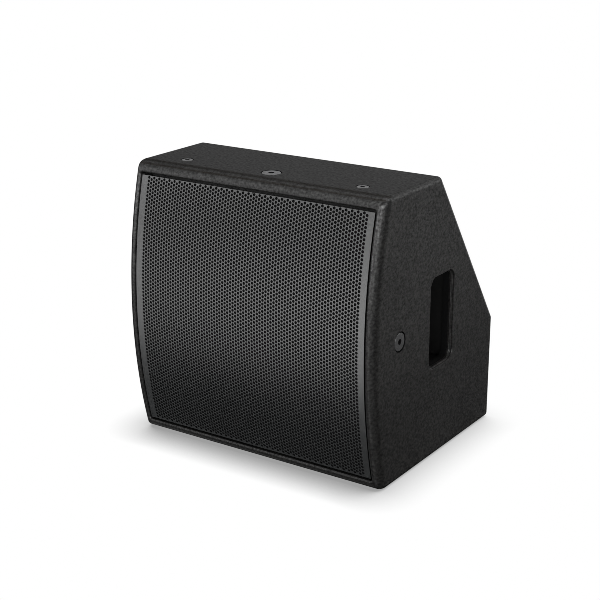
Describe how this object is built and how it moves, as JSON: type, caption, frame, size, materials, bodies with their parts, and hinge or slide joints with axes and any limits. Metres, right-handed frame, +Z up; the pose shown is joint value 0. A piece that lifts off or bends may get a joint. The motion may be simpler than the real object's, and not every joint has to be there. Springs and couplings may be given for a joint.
{
  "type": "stage monitor wedge",
  "caption": "Compact coaxial loudspeaker cabinet with bowed perforated front, sloped back, side hand pockets and flush threaded fixing points",
  "frame": {"origin": "centre of the cabinet's footprint box on the floor plane it stands on", "axes": "+Z up, front with the grille faces -Y, +X to the right seen from behind the front looking along +Y"},
  "size_m": [0.39, 0.3332, 0.388],
  "materials": {
    "textured_paint": "orange-peel textured black paint",
    "baffle_paint": "matt black paint on plywood",
    "birch": "bare plywood",
    "grille_paint": "dark grey powder coat",
    "foam": "open-cell black foam",
    "rubber_black": "matt rubber",
    "insert_steel": "dull zinc",
    "black_plastic": "moulded, fine grain",
    "black_screw": "black oxide",
    "cast_aluminium": "cast, dark powder coat",
    "zinc_steel": "zinc plated",
    "surround_rubber": "doped cloth",
    "paper_cone": "pressed paper pulp",
    "former_film": "polyimide film",
    "copper": "enamelled copper wire",
    "textile": "impregnated cotton",
    "ferrite": "sintered ferrite",
    "titanium": "thin pressed metal",
    "terminal_plastic": "moulded",
    "plate_paint": "black powder coat",
    "socket_plastic": "glass-filled plastic",
    "board": "laminate board",
    "cap_film": "film wrap",
    "white_ceramic": "cement body",
    "cable_red": "insulated cable",
    "polyester": "loose polyester wadding"
  },
  "bodies": {
    "cabinet": {"side_left": "textured_paint", "side_right": "textured_paint", "top_panel": "textured_paint", "bottom_panel": "textured_paint", "slope_panel": "textured_paint", "rear_panel": "textured_paint", "baffle": "baffle_paint", "brace": "birch", "grille": "grille_paint", "grille_foam": "foam", "grille_studs": "grille_paint", "grille_grommets": "rubber_black", "side_inserts": "insert_steel", "top_insert": "insert_steel", "top_small_inserts": "insert_steel", "handle_cup_left": "black_plastic", "handle_cup_right": "black_plastic", "handle_screws": "black_screw", "basket": "cast_aluminium", "unit_gasket": "rubber_black", "unit_bolts": "black_screw", "t_nuts": "zinc_steel", "surround": "surround_rubber", "spider": "textile", "top_plate": "zinc_steel", "magnet": "ferrite", "yoke": "zinc_steel", "hf_horn": "black_plastic", "hf_yoke": "zinc_steel", "hf_magnet": "ferrite", "hf_top_plate": "zinc_steel", "phase_plug": "titanium", "hf_suspension": "former_film", "hf_clamp_ring": "cast_aluminium", "hf_cover": "black_plastic", "lf_terminals": "terminal_plastic", "port_tubes": "black_plastic", "input_plate": "plate_paint", "input_sockets": "socket_plastic", "input_screws": "black_screw", "filter_board": "board", "filter_coils": "copper", "filter_caps": "cap_film", "filter_resistors": "white_ceramic", "filter_standoffs": "zinc_steel", "wiring": "cable_red", "wadding": "polyester", "feet": "rubber_black", "foot_screws": "zinc_steel"},
    "lf_moving": {"cone": "paper_cone", "coil_former": "former_film", "coil_winding": "copper"},
    "hf_moving": {"hf_dome": "titanium", "hf_coil": "copper"}
  },
  "joints": [
    {"name": "lf_excursion", "type": "slide", "parent": "cabinet", "child": "lf_moving", "axis": [0, -1, 0], "range_m": [-0.005, 0.005], "stiffness_N_per_m": 5000, "deforming": ["surround", "spider"]},
    {"name": "hf_excursion", "type": "slide", "parent": "cabinet", "child": "hf_moving", "axis": [0, -1, 0], "range_m": [-0.0003, 0.0003], "stiffness_N_per_m": 20000, "deforming": ["hf_suspension"]}
  ]
}
